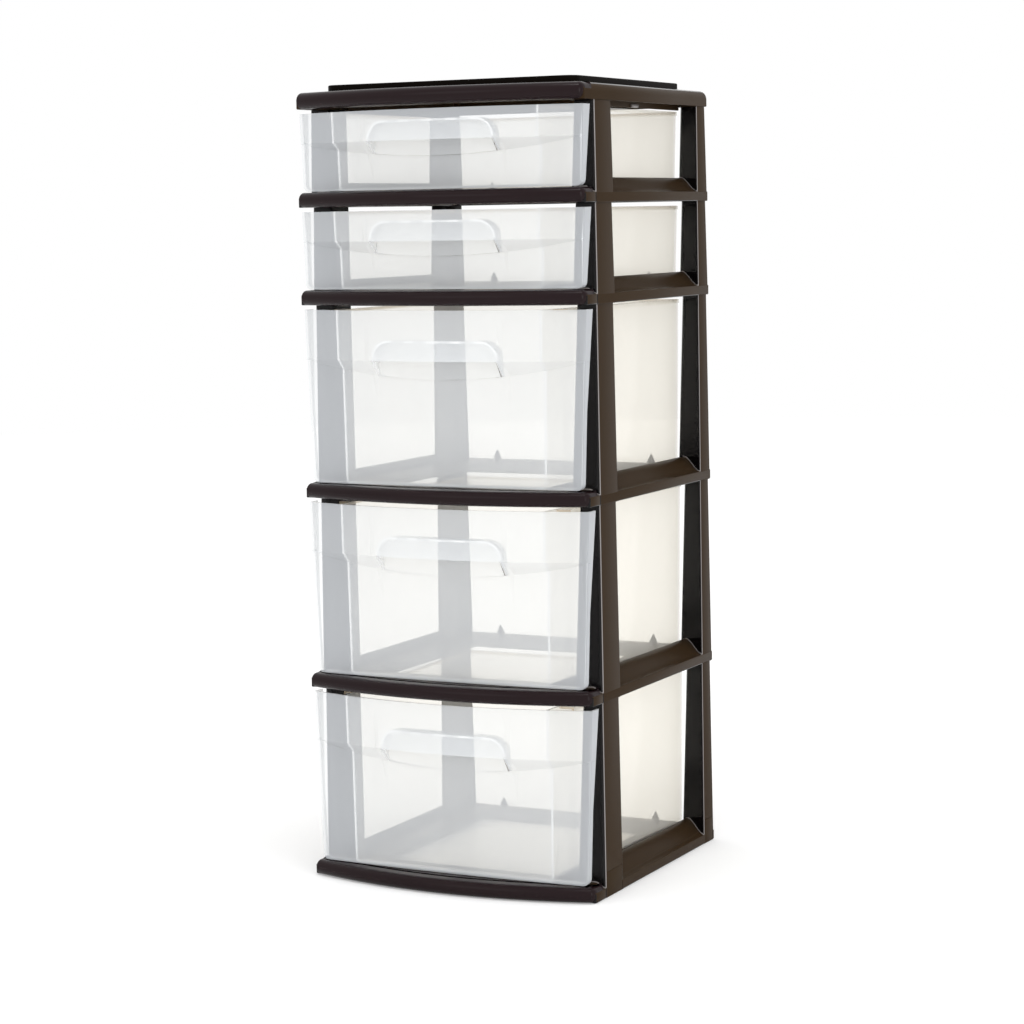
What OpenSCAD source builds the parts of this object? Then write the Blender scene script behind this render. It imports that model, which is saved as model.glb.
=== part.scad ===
// Plastic drawer tower: five stacked frame mouldings, a top panel and five clear drawers.
// Millimetres. The origin is under the middle of the tower, at floor level; the front is -Y.

/* [Tower] */
// Width over the side rails
tower_w = 320; // [290:1:360]
// Depth from the front corners to the back face
tier_d = 304; // [270:1:340]
// How far the front lips bow out at their middle
front_bow = 26; // [16:1:36]
// Height of each of the three lower tiers, seam to seam
tall_pitch = 195.5; // [160:0.5:240]
// Height of each of the two upper tiers, seam to seam
short_pitch = 98; // [90:0.5:150]
// Wall of the frame mouldings
frame_wall = 2.4; // [2:0.1:3]

/* [Shelf ring] */
// Height of the front lip, the back rail and the front corners
lip_h = 15; // [13:0.5:18]
// Depth of the rolled lip, front to back
lip_d = 20; // [16:0.5:26]
// Radius of the lip's ends, seen from above
lip_end_r = 5; // [3:0.5:7]
// Distance of the side rails' front ends behind the front corners
rail_set = 10; // [8:0.5:14]
// Height of the side rail's upright skirt
skirt_h = 10; // [6:0.5:12]
// Height of the side rail's inner top edge
rail_h = 24.5; // [20:0.5:30]
// Width of the side rail's curved slope
rail_w = 23; // [18:0.5:27]
// Height of the runners that carry the drawers above the lip
runner_rise = 0.5; // [0:0.1:2]
// Width of each runner
runner_w = 34; // [28:0.5:40]
// Depth of the back rail
back_rail_d = 12; // [8:0.5:16]
// Distance of the two stop tabs from the middle
tab_x = 92; // [60:1:110]
// Width of a stop tab at its foot
tab_w = 9; // [6:0.5:14]
// Height of a stop tab above the back rail
tab_h = 10; // [6:0.5:14]
// Thickness of a stop tab
tab_t = 3; // [2:0.5:4]

/* [Posts] */
// Distance of the front posts' faces behind the front corners
post_set = 27; // [25.5:0.5:34]
// Width of a post at its head
head_w = 22; // [19:0.5:25]
// Draft of a post's inner face, in mm of width for each mm of height
post_draft = 0.04; // [0.02:0.005:0.05]
// Depth of a front post at its foot, on the outer face
post_d = 42.5; // [38:0.5:50]
// Depth of a front post at its head, on the inner face
post_inner_d = 36.5; // [32:0.5:38]
// Slant of a front post's inner rear edge, in mm forwards for each mm down
post_slant = 0.06; // [0.03:0.005:0.07]
// Depth of a back post at its foot, on the outer face
back_post_d = 28; // [25:0.5:34]
// Depth of a back post on the inner face
back_post_inner_d = 15; // [13:0.5:20]
// How much a back post narrows from foot to head, front to back
back_taper_d = 1.5; // [0.5:0.5:3]
// How much further in a back post's head reaches at its back face
back_flare = 5.5; // [2:0.5:6]
// Draft of a back post's inner rear edge, in mm for each mm of height
back_draft = 0.012; // [0.005:0.001:0.02]
// Step of the faces at each seam
seam_step = 1.5; // [1:0.1:2]
// Height of the plug on each post's head
plug_h = 8; // [5:0.5:12]
// Gap round a plug in the post above
plug_gap = 0.3; // [0.2:0.05:0.5]
// Corner radius of the posts
post_r = 3; // [1.5:0.5:4]

/* [Feet] */
// Height of a foot's cheek on the outside of the base
foot_h = 26; // [20:1:40]
// Height of a foot's plug inside the post
foot_plug_h = 18; // [10:1:30]
// Thickness of a foot's sole
sole_t = 3; // [2:0.5:5]

/* [Top panel] */
// Height of the top panel's rim
rim_h = 16.5; // [14:0.5:22]
// Radius of the rim's upper edge at the sides
rim_r = 9; // [4:0.5:12]
// Distance of the tray's wall from the rim's sides
tray_inset = 20; // [14:1:30]
// Distance of the tray's front wall behind the front corners
tray_set = 24; // [16:1:40]
// Height of the tray's wall above the panel
tray_h = 7.5; // [5:0.5:12]
// Thickness of the tray's wall
tray_t = 6; // [4:0.5:10]
// Corner radius of the tray's wall
tray_r = 14; // [11:0.5:20]
// How far the guides under the top panel reach below its rim
guide_drop = 3.5; // [2:0.5:4]
// Distance of the guides inside the posts' heads
guide_set = 4.5; // [4:0.5:5]
// Length of the small catch on each guide
catch_l = 16; // [10:1:30]

/* [Drawers] */
// Wall of the drawers
drawer_wall = 2.2; // [1.6:0.1:2.8]
// Gap between a drawer and the runners it stands on
runner_gap = 0.3; // [0.2:0.05:0.6]
// Gap between a drawer's top edge and the seam above
drawer_top_gap = 4.4; // [3:0.1:7]
// Gap between a drawer's rim and the posts' heads
side_gap = 5.5; // [5.5:0.5:8]
// Gap between a drawer's rim and the back face of the tower
back_gap = 9; // [9:0.5:14]
// Draft of the drawer's body, in degrees
body_draft = 0.5; // [0.3:0.1:1]
// Corner radius of the drawer's body
body_r = 5; // [4.5:0.5:10]
// Bevel between the drawer's floor and its walls
floor_bevel = 4; // [3:0.5:7]
// How much nearer to the middle the body's sides stand at the front panel than at the back
body_spread = 13; // [8:0.5:14]
// Width of the rim at the drawer's back corners
side_rim_w = 3; // [3:0.5:9]
// Width of the rim along the drawer's back
back_rim_w = 3; // [3:0.5:6]
// Height of the rim's turned-down edge
rim_drop = 4; // [3:0.5:6]
// Gap between the front panel's upper corners and the sides of the tower
panel_gap = 2; // [1:0.5:4]
// Draft of the front panel's sides, in degrees
panel_draft = 2.2; // [1.5:0.1:3]
// Radius of the front panel's lower corners
panel_r = 6; // [4:0.5:10]
// Distance of the front panel's edges behind the front corners
panel_set = 6; // [5:0.5:8]
// Bow of the front panel's upper band
band_bow = 25; // [20:0.5:30]
// Bow of the front panel below the band
panel_bow = 6; // [3:0.5:8]
// Depth of the returns along the front panel's sides, at the top
return_d = 14; // [10:0.5:15]
// Depth of the returns lower down
return_low_d = 6; // [5:0.5:9]
// Height over which the returns narrow
return_taper_h = 100; // [60:5:140]
// Height of the upper band on a tall drawer
tall_band_h = 50; // [40:0.5:70]
// Height of the upper band on a short drawer
short_band_h = 30; // [27:0.5:36]
// Height of the sloping underside of the band on a tall drawer
tall_slope_h = 25; // [18:0.5:30]
// Height of the sloping underside of the band on a short drawer
short_slope_h = 20; // [16:0.5:24]

/* [Finger pockets] */
// Width of the arched finger pocket
pocket_w = 140; // [100:1:180]
// Height of the pocket above the band's lower edge
pocket_h = 20; // [18:0.5:24]
// Radius of the pocket's shoulders
pocket_r = 18; // [10:0.5:18]

/* [Hidden] */
$fn = 48;

frame_colour = [0.16, 0.12, 0.10];
foot_colour = [0.12, 0.10, 0.09];
drawer_colour = [0.88, 0.91, 0.94, 0.45];

// Tiers are counted from the floor up.
pitches = [tall_pitch, tall_pitch, tall_pitch, short_pitch, short_pitch];
bands = [tall_band_h, tall_band_h, tall_band_h, short_band_h, short_band_h];
slopes = [tall_slope_h, tall_slope_h, tall_slope_h, short_slope_h, short_slope_h];
function seam(i) = i == 0 ? 0 : seam(i - 1) + pitches[i - 1];
top_z = seam(len(pitches));

half_w = tower_w / 2;
depth = tier_d + front_bow;
front_y = front_bow - depth / 2;
back_y = depth / 2;
post_y = front_y + post_set;
lip_r = (half_w * half_w + front_bow * front_bow) / (2 * front_bow);
lip_y = front_y - front_bow + lip_r;
rail_x = half_w - rail_w;
runner_z = lip_h + runner_rise;
eps = 0.01;

// ---- plane shapes and lofts ----

function unit(v) = v / norm(v);
function left_of(v) = [-v[1], v[0]];
function edge(p, i) = unit(p[(i + 1) % len(p)] - p[i]);
function before(p, i) = edge(p, (i + len(p) - 1) % len(p));
// Corner i of a counter-clockwise outline, moved inwards by t from both of its edges
function inner_corner(p, i, t) =
    let (a = left_of(before(p, i)), b = left_of(edge(p, i)))
    p[i] + (a + b) * t / (1 + a * b);
function inset(p, t) = [for (i = [0:len(p) - 1]) inner_corner(p, i, t)];
// The outline with each corner rounded to radius r in three steps
function rounded(p, r) = [
    for (i = [0:len(p) - 1])
        let (a = -left_of(before(p, i)), b = -left_of(edge(p, i)), c = inner_corner(p, i, r))
        for (k = [0:3]) c + r * unit(a * (3 - k) + b * k)
];
function mix(p, q, f) = [for (i = [0:len(p) - 1]) p[i] * (1 - f) + q[i] * f];
// The y of the line through a and b at a distance x from the middle
function line_y(a, b, x) = a[1] + (b[1] - a[1]) * (x - a[0]) / (b[0] - a[0]);

// A solid through outlines of equal length; each level is [height, outline]
module loft(levels) {
    n = len(levels[0][1]);
    last = len(levels) - 1;
    points = [for (l = levels) for (q = l[1]) [q[0], q[1], l[0]]];
    sides = [
        for (l = [0:last - 1]) for (i = [0:n - 1])
            let (a = l * n + i, b = l * n + (i + 1) % n)
            for (f = [[a, a + n, b + n], [a, b + n, b]]) f
    ];
    floor_face = [[for (i = [0:n - 1]) i]];
    top_face = [[for (i = [n - 1:-1:0]) last * n + i]];
    polyhedron(points, concat(floor_face, sides, top_face), convexity = 4);
}

module both_sides() {
    children();
    mirror([1, 0, 0]) children();
}

module block(x0, x1, y0, y1, z0, z1) {
    translate([x0, y0, z0]) cube([x1 - x0, y1 - y0, z1 - z0]);
}

module rounded_plate(x, y0, y1, r) {
    translate([-x + r, y0]) square([2 * (x - r), y1 - y0]);
    translate([-x, y0 + r]) square([2 * x, y1 - y0 - 2 * r]);
    for (cx = [-x + r, x - r], cy = [y0 + r, y1 - r]) translate([cx, cy]) circle(r);
}

// ---- posts ----

// Outlines of the right-hand posts, counter-clockwise from the inner front corner. Every post has
// the same head; its foot grows with its height, p, because the draft is the same on all of them.
head_x = half_w - seam_step - head_w;
back_head_x = head_x - back_flare;
function front_foot(p) = [
    [head_x - post_draft * p, post_y],
    [half_w, post_y],
    [half_w, post_y + post_d],
    [head_x - post_draft * p, post_y + seam_step + post_inner_d - post_slant * p]];
function back_foot(p) = [
    [head_x - post_draft * p, back_y - back_post_inner_d],
    [half_w, back_y - back_post_d],
    [half_w, back_y],
    [back_head_x - back_draft * p, back_y]];
front_head = [
    [head_x, post_y + seam_step],
    [half_w - seam_step, post_y + seam_step],
    [half_w - seam_step, post_y + post_d - seam_step],
    [head_x, post_y + seam_step + post_inner_d]];
back_head = [
    [head_x, back_y - back_post_inner_d],
    [half_w - seam_step, back_y - back_post_d + seam_step + back_taper_d],
    [half_w - seam_step, back_y - seam_step],
    [back_head_x, back_y - seam_step]];

// A plug stands with a gap in the foot above, whichever height the post above has
function plug_outline(foot) =
    let (t = inset(foot, frame_wall + plug_gap), x = head_x + frame_wall + plug_gap - seam_step)
    [[x, line_y(t[0], t[1], x)], t[1], t[2], [x, line_y(t[2], t[3], x)]];
front_plug = plug_outline(front_foot(max(pitches)));
back_plug = plug_outline(back_foot(min(pitches)));
plug_tip_h = 2;
plug_tip_in = 1.5;

module post_solid(foot, head, pitch) {
    loft([[0, rounded(foot, post_r)], [pitch, rounded(head, post_r)]]);
}

// The hollow of a post, open underneath and closed at the head
module post_hollow(foot, head, pitch) {
    near_top = mix(foot, head, (pitch - frame_wall) / pitch);
    loft([[-1, rounded(inset(foot, frame_wall), post_r)],
          [0, rounded(inset(foot, frame_wall), post_r)],
          [pitch - frame_wall, rounded(inset(near_top, frame_wall), post_r)]]);
}

// The plug on a post's head, which enters the hollow of the post above
module post_plug(plug, pitch) {
    loft([[pitch - 1, rounded(plug, post_r)],
          [pitch + plug_h - plug_tip_h, rounded(plug, post_r)],
          [pitch + plug_h, rounded(inset(plug, plug_tip_in), post_r)]]);
}

module each_post(pitch) {
    both_sides() {
        $foot = front_foot(pitch);
        $head = front_head;
        $plug = front_plug;
        children();
    }
    both_sides() {
        $foot = back_foot(pitch);
        $head = back_head;
        $plug = back_plug;
        children();
    }
}

// ---- shelf ring ----

// Height of the side rail's slope at a distance x from the middle, lowered by drop
function rail_z(x, drop) =
    skirt_h - drop + (rail_h - skirt_h) * (1 - cos(180 * (half_w - x) / rail_w)) / 2;
slope_steps = 10;
rail_outline = concat(
    [[rail_x - frame_wall, 0], [half_w, 0]],
    [for (i = [0:slope_steps]) let (x = half_w - rail_w * i / slope_steps) [x, rail_z(x, 0)]],
    [[rail_x - frame_wall, rail_h]]);
rail_hollow = concat(
    [[rail_x, -1], [half_w - frame_wall, -1]],
    [for (i = [1:slope_steps])
        let (x = half_w - frame_wall - (rail_w - frame_wall) * i / slope_steps) [x, rail_z(x, frame_wall)]]);

// An outline of x and height, run from y0 to y1
module along_y(outline, y0, y1) {
    translate([0, y1, 0]) rotate([90, 0, 0]) linear_extrude(y1 - y0) polygon(outline);
}

// The side rail runs from inside the lip to the back face
rail_front = front_y + rail_set;

// In front of the posts the rail is no higher than the lip
module rail_height(in) {
    block(0, half_w + 1, rail_front - 1, back_y + 1, -2, lip_h - in);
    block(0, half_w + 1, post_y + in, back_y + 1, -2, rail_h + 1);
}

module side_rail() {
    difference() {
        intersection() {
            along_y(rail_outline, rail_front, back_y);
            rail_height(0);
        }
        intersection() {
            along_y(rail_hollow, rail_front + frame_wall, back_y - frame_wall);
            rail_height(frame_wall);
        }
    }
}

// Section of the rolled lip, at its distance from the centre of the bow
module lip_section(in, h) {
    nose = h / 2;
    translate([lip_r - lip_d + in, in > 0 ? -1 : 0]) square([lip_d - nose - in, h - in + (in > 0 ? 1 : 0)]);
    translate([lip_r - nose, nose]) circle(nose - in);
}

module bowed_bar(in, h, x) {
    intersection() {
        translate([0, lip_y, 0]) rotate_extrude($fn = 360) lip_section(in, h);
        block(-x, x, front_y - front_bow - 1, front_y + lip_d, -2, h + 1);
    }
}

// The lip's ends are rounded to an arc that runs on from its bow
end_x = half_w - lip_end_r;
end_y = lip_y - sqrt(pow(lip_r - lip_end_r, 2) - end_x * end_x);
module end_trim(in, h) {
    x0 = end_x * lip_r / (lip_r - lip_end_r);
    difference() {
        block(x0, half_w + 1, end_y - 2 * lip_end_r, end_y, -2, h + 2);
        translate([end_x, end_y, -3]) cylinder(r = lip_end_r - in, h = h + 6);
    }
}

module lip(h) {
    difference() {
        bowed_bar(0, h, half_w);
        difference() {
            bowed_bar(frame_wall, h, half_w - frame_wall);
            both_sides() end_trim(frame_wall, h);
        }
        both_sides() end_trim(0, h);
    }
}

// Flat web between the lip and the front posts
web_over = 8;
module front_web(z) {
    x = rail_x;
    intersection() {
        translate([0, lip_y, z - frame_wall]) cylinder(r = lip_r - lip_h / 2, h = frame_wall, $fn = 360);
        block(-x, x, front_y - front_bow, post_y + web_over, z - frame_wall - 1, z + 1);
    }
}

module back_rail(h) {
    y0 = back_y - back_rail_d;
    difference() {
        block(-rail_x, rail_x, y0, back_y, 0, h);
        block(-rail_x - 1, rail_x + 1, y0 + frame_wall, back_y - frame_wall, -1, h - frame_wall);
    }
}

tab_edge_h = 2;
tab_tip = 1;
module stop_tab() {
    x0 = tab_x - tab_w / 2;
    x1 = tab_x + tab_w / 2;
    translate([0, back_y - frame_wall, lip_h - eps]) rotate([90, 0, 0]) linear_extrude(tab_t)
        polygon([[x0, 0], [x1, 0], [x1, tab_edge_h], [tab_x + tab_tip, tab_h]]);
}

runner_lip_h = 9;
module runner() {
    x1 = rail_x - frame_wall + eps;
    x0 = rail_x - frame_wall - runner_w;
    y0 = post_y;
    y1 = back_y - back_rail_d + 1;
    block(x0, x1, y0, y1, runner_z - frame_wall, runner_z);
    block(x0, x0 + frame_wall, y0, y1, runner_z - runner_lip_h, runner_z);
}

module shelf_ring() {
    lip(lip_h);
    front_web(lip_h);
    back_rail(lip_h);
    both_sides() side_rail();
    both_sides() runner();
    both_sides() stop_tab();
}

// ---- tier frames ----

module tier_frame(i) {
    pitch = pitches[i];
    color(frame_colour) translate([0, 0, seam(i)]) {
        difference() {
            union() {
                shelf_ring();
                each_post(pitch) post_solid($foot, $head, pitch);
            }
            each_post(pitch) post_hollow($foot, $head, pitch);
            if (i == 0) each_post(pitch) foot_window($foot);
        }
        each_post(pitch) post_plug($plug, pitch);
    }
}

// ---- feet ----

foot_gap = 0.3;
foot_edge = post_r;

// The notch in the outer wall of a base post that a foot's cheek fills
module foot_window(foot) {
    y0 = foot[1][1] + foot_edge;
    y1 = foot[2][1] - foot_edge;
    block(half_w - 2 * frame_wall - foot_gap, half_w + 1, y0, y1, -1, foot_h);
}

module foot_insert(foot, head) {
    plug = inset(foot, frame_wall + foot_gap);
    plug_top = inset(mix(foot, head, foot_plug_h / pitches[0]), frame_wall + foot_gap);
    y0 = foot[1][1] + foot_edge + foot_gap;
    y1 = foot[2][1] - foot_edge - foot_gap;
    color(foot_colour) {
        difference() {
            loft([[0, rounded(plug, post_r)], [foot_plug_h, rounded(plug_top, post_r)]]);
            loft([[sole_t, rounded(inset(plug, frame_wall), post_r)],
                  [foot_plug_h + 1, rounded(inset(plug_top, frame_wall), post_r)]]);
        }
        block(half_w - 2 * frame_wall, half_w, y0, y1, 0, foot_plug_h);
        block(half_w - frame_wall, half_w, y0, y1, 0, foot_h - foot_gap);
    }
}

module foot_front_right() {
    foot_insert(front_foot(pitches[0]), front_head);
}

module foot_back_right() {
    foot_insert(back_foot(pitches[0]), back_head);
}

module foot_front_left() {
    mirror([1, 0, 0]) foot_front_right();
}

module foot_back_left() {
    mirror([1, 0, 0]) foot_back_right();
}

// ---- top panel ----

module rim_outline(in) {
    translate([0, in > 0 ? -1 : 0]) square([half_w - in, rim_h - rim_r + (in > 0 ? 1 : 0)]);
    square([half_w - rim_r, rim_h - in]);
    translate([half_w - rim_r, rim_h - rim_r]) intersection() {
        circle(rim_r - in);
        square(rim_r);
    }
}

module rim_sides(in) {
    both_sides()
        translate([0, back_y - in, 0]) rotate([90, 0, 0])
            linear_extrude(back_y - rail_front - 2 * in) rim_outline(in);
}

// Sockets for the last posts' plugs, inside the rim
module sockets() {
    intersection() {
        rim_sides(0);
        difference() {
            each_post(short_pitch)
                loft([[0, rounded($foot, post_r)], [rim_h - frame_wall, rounded($foot, post_r)]]);
            intersection() {
                each_post(short_pitch) post_hollow($foot, $foot, rim_h);
                rim_sides(frame_wall);
            }
        }
    }
}

module tray_wall() {
    x = half_w - tray_inset;
    y0 = front_y + tray_set;
    y1 = back_y - tray_inset;
    translate([0, 0, rim_h - eps]) linear_extrude(tray_h + eps) difference() {
        rounded_plate(x, y0, y1, tray_r);
        rounded_plate(x - tray_t, y0 + tray_t, y1 - tray_t, tray_r - tray_t);
    }
}

// Guides that keep the top drawer from tipping, with a small catch on each
module top_guide() {
    x = head_x - guide_set;
    y0 = front_foot(short_pitch)[3][1];
    y1 = back_y - back_post_inner_d;
    mid = (y0 + y1) / 2;
    block(x, x + frame_wall, y0, y1, -guide_drop, rim_h - frame_wall + eps);
    block(x + frame_wall - eps, x + 2 * frame_wall, mid - catch_l / 2, mid + catch_l / 2, -guide_drop, 0);
}

module top_panel() {
    color(frame_colour) translate([0, 0, top_z]) {
        lip(rim_h);
        front_web(rim_h);
        difference() {
            rim_sides(0);
            rim_sides(frame_wall);
        }
        sockets();
        tray_wall();
        both_sides() top_guide();
    }
}

// ---- drawers ----

panel_x = half_w - panel_gap;
panel_y = front_y + panel_set;
band_y = panel_y - band_bow;
band_r = (panel_x * panel_x + band_bow * band_bow) / (2 * band_bow);
flat_r = (panel_x * panel_x + panel_bow * panel_bow) / (2 * panel_bow);
rim_x = head_x - side_gap;
rim_back = back_y - back_gap;
body_x = rim_x - side_rim_w;
body_back = rim_back - back_rim_w;
turn_steps = 4;

// Front panel outline, seen from the front: wide at the top, with rounded lower corners
function panel_outline(h, in) =
    let (x0 = panel_x - h * tan(panel_draft) - in, x1 = panel_x - in, r = panel_r - in,
         turn = [for (k = [0:turn_steps])
             [x0 - r + r * sin(90 * k / turn_steps), in + r - r * cos(90 * k / turn_steps)]])
    concat(turn, [[x1, h + in], [-x1, h + in]],
           [for (k = [turn_steps:-1:0]) [-turn[k][0], turn[k][1]]]);

// The front panel seen from the side: its returns are deepest at the top
function return_outline(h, in) =
    let (y0 = band_y - 2, y1 = panel_y + return_low_d + in, y2 = panel_y + return_d + in,
         top = in > 0 ? h + 2 : h)
    [[y0, -return_taper_h - 1], [y1, -return_taper_h - 1], [y1, h - return_taper_h],
     [y2, h], [y2, top], [y0, top]];

// The front panel as a solid form: bowed band, cone-shaped underside and flatter panel
module front_form(i, h, in) {
    low = h - bands[i];
    intersection() {
        translate([0, panel_y + return_d + in, 0]) rotate([90, 0, 0])
            linear_extrude(return_d + band_bow + 2) polygon(panel_outline(h, in));
        union() {
            translate([0, band_y + band_r, low + in])
                cylinder(r = band_r - in, h = bands[i] + 1, $fn = 360);
            translate([0, band_y + band_r, low + in - slopes[i]])
                cylinder(r1 = band_r - in - band_bow, r2 = band_r - in, h = slopes[i] + eps, $fn = 360);
            translate([0, panel_y - panel_bow + flat_r, -1])
                cylinder(r = flat_r - in, h = low + 1, $fn = 720);
        }
        translate([-panel_x - 1, 0, 0]) rotate([90, 0, 90])
            linear_extrude(2 * panel_x + 2) polygon(return_outline(h, in));
    }
}

// Plan of the drawer's body at a height z, moved inwards by in: it narrows towards the front
function body_plan(h, z, in) =
    let (lean = (h - z) * tan(body_draft), x = body_x - lean - in, y0 = band_y - 5,
         x0 = x - body_spread * (body_back - y0) / (body_back - panel_y))
    [[-x0, y0], [x0, y0], [x, body_back - lean - in], [-x, body_back - lean - in]];

least_r = 0.5;
module body_form(h, in) {
    top = h + (in > 0 ? 1 : 0);
    bevel = floor_bevel - in / 2;
    loft([[in, rounded(inset(body_plan(h, in, in), bevel), max(body_r - bevel, least_r))],
          [in + bevel, rounded(body_plan(h, in + bevel, in), body_r)],
          [top, rounded(body_plan(h, top, in), body_r)]]);
}

// The walls and floor of the body, which run forwards to the inside of the front panel
module body_shell(i, h) {
    intersection() {
        difference() {
            body_form(h, 0);
            body_form(h, drawer_wall);
        }
        union() {
            front_form(i, h, 0);
            block(-panel_x, panel_x, panel_y + return_low_d / 2, back_y, -1, h + 1);
        }
    }
}

// Rim round the top of the body's sides and back, with its outer edge turned down
rim_seat = 1;
module body_rim(h) {
    y0 = panel_y + return_d;
    y_cut = y0 - 3 * body_r;
    r = body_r + back_rim_w;
    difference() {
        translate([0, 0, h - rim_drop]) linear_extrude(rim_drop)
            rounded_plate(rim_x, y_cut, rim_back, r);
        translate([0, 0, h - rim_drop - 1]) linear_extrude(rim_drop + 1 - drawer_wall)
            rounded_plate(rim_x - drawer_wall, y_cut - 1, rim_back - drawer_wall, r - drawer_wall);
        translate([0, 0, h - rim_drop - 1]) linear_extrude(rim_drop + 2)
            polygon(rounded(body_plan(h, h, rim_seat), body_r - rim_seat));
        block(-rim_x - 1, rim_x + 1, y_cut - 2, y0, 0, h + 1);
    }
}

// The back of the pocket stands a step in front of the panel's middle
pocket_step = 0.5;
pocket_y = panel_y - panel_bow - pocket_step;

// The pocket's arch, run back from the front of the bow to a depth y1
module arch(i, h, in, y1) {
    low = h - bands[i];
    x = pocket_w / 2 - in;
    r = pocket_r - in;
    z1 = low + pocket_h - in;
    z0 = low - slopes[i];
    translate([0, y1, 0]) rotate([90, 0, 0]) linear_extrude(y1 - band_y + 2) {
        translate([-x, z0]) square([2 * x, z1 - r - z0]);
        translate([-x + r, z0]) square([2 * (x - r), z1 - z0]);
        for (cx = [-x + r, x - r]) translate([cx, z1 - r]) circle(r);
    }
}

// The pocket is open below the band, and the band's own skin closes it in front
module pocket_hollow(i, h) {
    low = h - bands[i];
    intersection() {
        arch(i, h, drawer_wall, pocket_y);
        union() {
            block(-pocket_w, pocket_w, band_y - 3, pocket_y + 1, low - slopes[i] - 1, low);
            translate([0, band_y + band_r, low - 1])
                cylinder(r = band_r - drawer_wall, h = bands[i], $fn = 360);
        }
    }
}

module drawer(i) {
    h = pitches[i] - drawer_top_gap - runner_z - runner_gap;
    color(drawer_colour) translate([0, 0, seam(i) + runner_z + runner_gap]) {
        difference() {
            union() {
                difference() {
                    front_form(i, h, 0);
                    front_form(i, h, drawer_wall);
                }
                body_shell(i, h);
                intersection() {
                    front_form(i, h, 0);
                    arch(i, h, 0, pocket_y + drawer_wall);
                }
            }
            pocket_hollow(i, h);
        }
        body_rim(h);
    }
}

tier_frame(0);  // tier_frame_1
tier_frame(1);  // tier_frame_2
tier_frame(2);  // tier_frame_3
tier_frame(3);  // tier_frame_4
tier_frame(4);  // tier_frame_5
top_panel();
drawer(0);  // drawer_1
drawer(1);  // drawer_2
drawer(2);  // drawer_3
drawer(3);  // drawer_4
drawer(4);  // drawer_5
foot_front_right();
foot_front_left();
foot_back_right();
foot_back_left();
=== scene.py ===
import math

import bmesh
import bpy
from mathutils import Matrix, Vector


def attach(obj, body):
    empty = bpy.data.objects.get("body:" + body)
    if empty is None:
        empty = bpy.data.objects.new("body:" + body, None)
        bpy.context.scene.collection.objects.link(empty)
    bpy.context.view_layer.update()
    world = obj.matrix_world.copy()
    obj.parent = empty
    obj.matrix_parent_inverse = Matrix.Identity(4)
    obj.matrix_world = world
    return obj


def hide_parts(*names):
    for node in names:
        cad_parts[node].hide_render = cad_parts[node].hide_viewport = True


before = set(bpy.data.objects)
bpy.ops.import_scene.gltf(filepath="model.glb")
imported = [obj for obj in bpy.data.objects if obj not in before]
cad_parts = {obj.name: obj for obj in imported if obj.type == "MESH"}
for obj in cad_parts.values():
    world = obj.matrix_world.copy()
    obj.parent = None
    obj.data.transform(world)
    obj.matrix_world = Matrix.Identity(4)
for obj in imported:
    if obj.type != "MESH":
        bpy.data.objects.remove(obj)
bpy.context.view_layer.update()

bpy.ops.object.select_all(action="DESELECT")

# The camera stands at the right front of the tower, lower than its top, and looks slightly down, as
# the photograph's does. The lens is a long one, so the tower's upright lines lean only a little.
lens_mm, film_mm, far_clip = 94.77, 36, 20
camera_place = (1.2672, -2.4761, 0.6752)
heading, fall, roll = 26.991, 6.321, -1.047
camera_data = bpy.data.cameras.new("photo_camera")
camera_data.lens = lens_mm
camera_data.sensor_width = film_mm
camera_data.clip_end = far_clip
camera = bpy.data.objects.new("photo_camera", camera_data)
bpy.context.scene.collection.objects.link(camera)
sideways = Matrix.Rotation(math.radians(heading), 4, "Z")
downwards = Matrix.Rotation(math.radians(90 - fall), 4, "X")
tilt = Matrix.Rotation(math.radians(roll), 4, "Z")
camera.matrix_world = Matrix.Translation(camera_place) @ sideways @ downwards @ tilt
bpy.context.scene.camera = camera

# The studio is a wide pale floor under an even white surround. Seen directly, or in a gloss, both
# are white, and the floor still takes the tower's soft shadow.
ambient_level = 1.1
floor_radius, floor_grey, floor_glow = 6, (0.82, 0.82, 0.82, 1), 0.20
bpy.context.scene.view_settings.view_transform = "Standard"
bpy.context.scene.cycles.transparent_max_bounces = 40


def seen_ray(nodes, links):
    """1 for a ray from the camera, a gloss or a clear wall, and 0 for a ray of light"""
    path = nodes.new("ShaderNodeLightPath")
    either = nodes.new("ShaderNodeMath")
    either.operation = "MAXIMUM"
    any_of = nodes.new("ShaderNodeMath")
    any_of.operation = "MAXIMUM"
    links.new(path.outputs["Is Camera Ray"], either.inputs[0])
    links.new(path.outputs["Is Glossy Ray"], either.inputs[1])
    links.new(either.outputs[0], any_of.inputs[0])
    links.new(path.outputs["Is Transmission Ray"], any_of.inputs[1])
    return any_of.outputs[0]


surround = bpy.data.worlds.new("studio_surround")
bpy.context.scene.world = surround
surround.use_nodes = True
surround_nodes = surround.node_tree.nodes
surround_links = surround.node_tree.links
ambient = surround_nodes["Background"]
ambient.inputs["Color"].default_value = (1, 1, 1, 1)
ambient.inputs["Strength"].default_value = ambient_level
backdrop_white = surround_nodes.new("ShaderNodeBackground")
backdrop_white.inputs["Color"].default_value = (1, 1, 1, 1)
backdrop_white.inputs["Strength"].default_value = 1
surround_mix = surround_nodes.new("ShaderNodeMixShader")
surround_links.new(seen_ray(surround_nodes, surround_links), surround_mix.inputs[0])
surround_links.new(ambient.outputs[0], surround_mix.inputs[1])
surround_links.new(backdrop_white.outputs[0], surround_mix.inputs[2])
surround_links.new(surround_mix.outputs[0], surround_nodes["World Output"].inputs["Surface"])

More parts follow.
